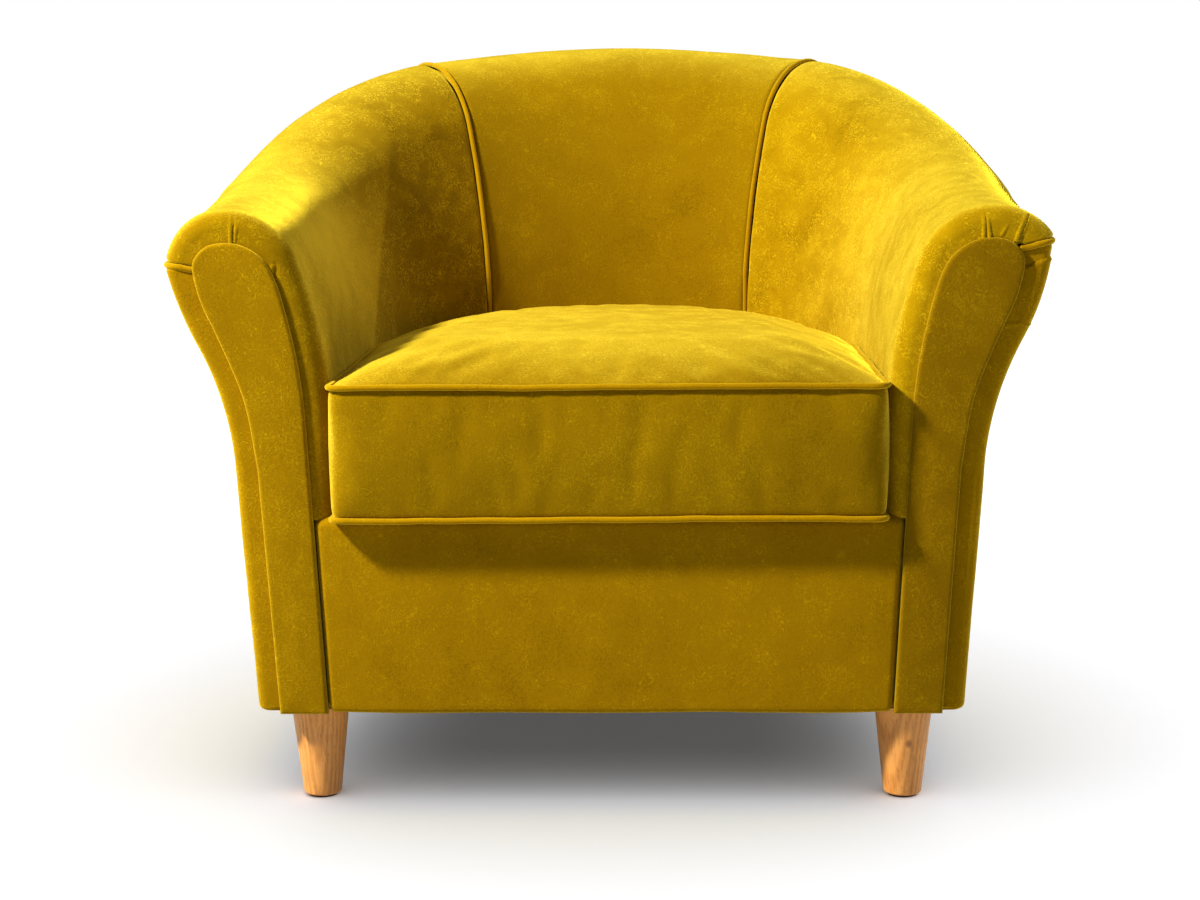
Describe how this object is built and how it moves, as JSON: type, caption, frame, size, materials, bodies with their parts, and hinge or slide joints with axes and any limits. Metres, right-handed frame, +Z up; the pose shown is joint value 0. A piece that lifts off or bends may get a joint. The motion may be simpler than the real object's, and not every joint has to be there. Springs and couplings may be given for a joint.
{
  "type": "tub armchair with a loose seat cushion",
  "caption": "Low upholstered tub armchair in mustard velvet: flared rolled rim that rises to the back, padded arm facings, piped loose seat cushion, short round tapered wooden legs.",
  "frame": {"origin": "On the floor, under the middle of the bounding box of the whole chair at rest.", "axes": "+X points to the right side of the picture (the longest side, over the flared arms), +Y to the back of the chair, +Z up. The open front of the chair faces -Y."},
  "size_m": [0.8936, 0.813, 0.777],
  "materials": {
    "velvet": "mustard yellow cut-pile velvet",
    "piping": "cord covered with the same velvet",
    "beech": "warm beech, satin lacquer",
    "timber": "planed softwood, unfinished",
    "plywood": "bent and flat plywood, unfinished",
    "foam": "cut upholstery foam",
    "liner_board": "webbing and calico liner behind the foam",
    "steel": "plain steel wire and fixings",
    "glide_plastic": "dark plastic glides",
    "dust_cloth": "black non-woven dust cloth",
    "zip_cloth": "woven zip tape with moulded teeth",
    "zip_metal": "lacquered zip slider"
  },
  "bodies": {
    "chair": {"arm_foam_left": "foam", "arm_foam_right": "foam", "arm_liner_left": "liner_board", "arm_liner_right": "liner_board", "arm_post_left": "timber", "arm_post_right": "timber", "back_foam": "foam", "back_liner": "liner_board", "back_piping_left": "piping", "back_piping_right": "piping", "base_hoop": "plywood", "corner_blocks": "timber", "dust_cover": "dust_cloth", "facing_board_left": "plywood", "facing_board_right": "plywood", "facing_cover_left": "velvet", "facing_cover_right": "velvet", "front_rail": "timber", "front_rail_cover": "velvet", "front_rail_pad": "foam", "inside_arm_cover_left": "velvet", "inside_arm_cover_right": "velvet", "inside_back_cover": "velvet", "leg_bolts": "steel", "leg_front_left": "beech", "leg_front_right": "beech", "leg_glides": "glide_plastic", "leg_nuts": "steel", "leg_rear_left": "beech", "leg_rear_right": "beech", "lower_posts": "timber", "outside_arm_board_left": "plywood", "outside_arm_board_right": "plywood", "outside_arm_cover_left": "velvet", "outside_arm_cover_right": "velvet", "outside_back_board": "plywood", "outside_back_cover": "velvet", "outside_piping_left": "piping", "outside_piping_right": "piping", "rear_seat_rail": "timber", "roll_piping": "piping", "seat_deck_cover": "velvet", "seat_deck_pad": "foam", "seat_hoop": "plywood", "seat_springs": "steel", "side_rail_left": "timber", "side_rail_right": "timber", "spring_clips": "steel", "top_rail": "timber", "upper_ribs": "plywood"},
    "seat_cushion": {"cushion_bottom_panel": "velvet", "cushion_boxing": "velvet", "cushion_foam": "foam", "cushion_piping_bottom": "piping", "cushion_piping_top": "piping", "cushion_top_panel": "velvet", "zip_tape": "zip_cloth"},
    "zip_pull": {"zip_slider": "zip_metal"}
  },
  "joints": [
    {"name": "cushion_lift", "type": "slide", "parent": "chair", "child": "seat_cushion", "axis": [0, 0, 1], "range_m": [0, 0.5]},
    {"name": "zip_slide", "type": "hinge", "parent": "seat_cushion", "child": "zip_pull", "pos_m": [0, -0.08608, 0.366], "axis": [0, 0, 1], "range_deg": [0, 90]}
  ]
}
